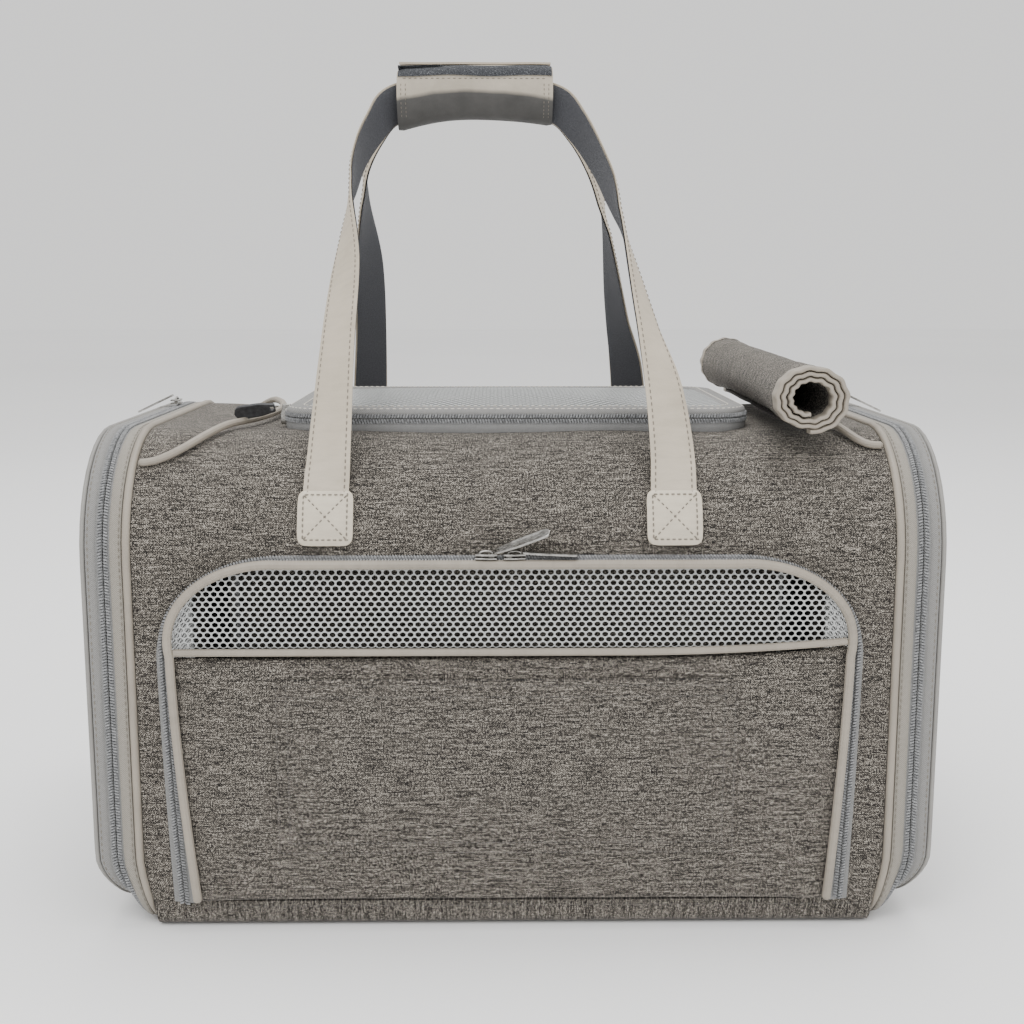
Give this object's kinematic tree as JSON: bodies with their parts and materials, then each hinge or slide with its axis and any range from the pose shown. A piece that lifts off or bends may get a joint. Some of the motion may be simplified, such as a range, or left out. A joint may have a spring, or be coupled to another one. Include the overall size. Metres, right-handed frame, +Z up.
{
  "type": "pet carrier bag",
  "caption": "Soft-sided pet carrier bag with arched front door, zipped mesh top door, fold-down ends and twin carry straps joined in a wrapped grip.",
  "frame": {"origin": "middle of the underside of the bag", "axes": "+X to the right along the bag's length, -Y out of the front door, +Z up to the grip"},
  "size_m": [0.4814, 0.3035, 0.4759],
  "materials": {
    "heather": "heathered linen-look weave",
    "piping": "bound cord, matte",
    "strap": "matte coated fabric",
    "tape": "herringbone zip tape",
    "coil": "nylon zip coil",
    "mesh": "hexagon-hole knitted mesh",
    "metal": "nickel plate",
    "pull": "moulded, matte",
    "board": "stiff sheet",
    "fleece": "short pile fleece"
  },
  "bodies": {
    "shell": {"bottom_panel": "heather", "front_panel": "heather", "rear_panel": "heather", "top_left_panel": "heather", "top_right_panel": "heather", "rear_mesh_window": "mesh", "rear_window_piping": "piping", "top_zip_body": "tape", "front_zip_body": "coil", "shoulder_piping_left": "piping", "shoulder_piping_right": "piping", "end_piping_inner_left": "piping", "end_band_left": "tape", "end_zip_body_left": "coil", "wire_hoop_left": "metal", "end_gusset_left": "mesh", "end_piping_inner_right": "piping", "end_band_right": "tape", "end_zip_body_right": "coil", "wire_hoop_right": "metal", "end_gusset_right": "mesh", "handle_strap_front": "strap", "strap_patch_front_left": "strap", "strap_patch_front_right": "strap", "handle_strap_rear": "strap", "strap_patch_rear_left": "strap", "strap_patch_rear_right": "strap", "base_board": "board"},
    "front_door": {"front_door_panel": "heather", "front_door_mesh": "mesh", "front_door_piping": "piping", "front_crossbar_piping": "piping", "front_pocket": "heather", "front_zip_door": "coil"},
    "front_slider_left": {"front_slider_left": "metal"},
    "front_slider_right": {"front_slider_right": "metal"},
    "front_pull_left": {"front_pull_left": "metal"},
    "front_pull_right": {"front_pull_right": "metal"},
    "top_door": {"top_door_frame": "tape", "top_door_mesh": "mesh", "top_zip_door": "tape"},
    "top_slider": {"top_slider": "metal"},
    "top_pull": {"top_pull": "pull"},
    "left_end": {"end_panel_left": "heather", "end_mesh_left": "mesh", "end_piping_outer_left": "piping", "end_zip_door_left": "coil"},
    "right_end": {"end_panel_right": "heather", "end_mesh_right": "mesh", "end_piping_outer_right": "piping", "end_zip_door_right": "coil"},
    "left_end_slider": {"end_slider_left": "metal"},
    "right_end_slider": {"end_slider_right": "metal"},
    "left_end_pull": {"end_pull_left": "metal"},
    "right_end_pull": {"end_pull_right": "metal"},
    "cover_roll": {"cover_roll": "heather"},
    "grip": {"grip_sleeve": "strap"},
    "grip_flap": {"grip_flap": "strap"},
    "mat": {"sleeping_mat": "fleece"}
  },
  "joints": [
    {"name": "front_door_open", "type": "hinge", "parent": "shell", "child": "front_door", "pos_m": [0, -0.1443, 0.0145], "axis": [1, 0, 0], "range_deg": [0, 90]},
    {"name": "front_slider_left_slide", "type": "slide", "parent": "front_door", "child": "front_slider_left", "axis": [1, 0, 0], "range_m": [-0.07, 0]},
    {"name": "front_slider_right_slide", "type": "slide", "parent": "front_door", "child": "front_slider_right", "axis": [1, 0, 0], "range_m": [0, 0.1]},
    {"name": "front_pull_left_swing", "type": "hinge", "parent": "front_slider_left", "child": "front_pull_left", "pos_m": [-0.0114, -0.144, 0.2091], "axis": [0, -1, 0], "range_deg": [0, 85]},
    {"name": "front_pull_right_swing", "type": "hinge", "parent": "front_slider_right", "child": "front_pull_right", "pos_m": [0.0036, -0.144, 0.2091], "axis": [0, -1, 0], "range_deg": [0, 30]},
    {"name": "top_door_open", "type": "hinge", "parent": "shell", "child": "top_door", "pos_m": [0, 0.083, 0.2732], "axis": [-1, 0, 0], "range_deg": [0, 60]},
    {"name": "top_slider_slide", "type": "slide", "parent": "top_door", "child": "top_slider", "axis": [0, 1, 0], "range_m": [0, 0.1]},
    {"name": "top_pull_swing", "type": "hinge", "parent": "top_slider", "child": "top_pull", "pos_m": [-0.1343, -0.066, 0.278], "axis": [0, 1, 0], "range_deg": [0, 100]},
    {"name": "left_end_open", "type": "hinge", "parent": "shell", "child": "left_end", "pos_m": [-0.2186, 0, 0.01], "axis": [0, -1, 0], "range_deg": [0, 88]},
    {"name": "right_end_open", "type": "hinge", "parent": "shell", "child": "right_end", "pos_m": [0.2186, 0, 0.01], "axis": [0, 1, 0], "range_deg": [0, 88]},
    {"name": "left_end_slider_slide", "type": "slide", "parent": "left_end", "child": "left_end_slider", "axis": [0, -1, 0], "range_m": [0, 0.12]},
    {"name": "right_end_slider_slide", "type": "slide", "parent": "right_end", "child": "right_end_slider", "axis": [0, -1, 0], "range_m": [0, 0.12]},
    {"name": "left_end_pull_swing", "type": "hinge", "parent": "left_end_slider", "child": "left_end_pull", "pos_m": [-0.217, 0.042, 0.2765], "axis": [0, 1, 0], "range_deg": [0, 100]},
    {"name": "right_end_pull_swing", "type": "hinge", "parent": "right_end_slider", "child": "right_end_pull", "pos_m": [0.217, 0.042, 0.2765], "axis": [0, -1, 0], "range_deg": [0, 100]},
    {"name": "cover_roll_lift", "type": "hinge", "parent": "shell", "child": "cover_roll", "pos_m": [0.1685, 0, 0.269], "axis": [0, 1, 0], "range_deg": [0, 20]},
    {"name": "grip_drop", "type": "slide", "parent": "shell", "child": "grip", "axis": [0, 0, 1], "range_m": [-0.11, 0], "deforming": ["handle_strap_front", "handle_strap_rear"]},
    {"name": "grip_flap_open", "type": "hinge", "parent": "grip", "child": "grip_flap", "pos_m": [0, 0.012, 0.4743], "axis": [-1, 0, 0], "range_deg": [0, 110]},
    {"name": "mat_lift", "type": "slide", "parent": "shell", "child": "mat", "axis": [0, 0, 1], "range_m": [0, 0.1]}
  ]
}
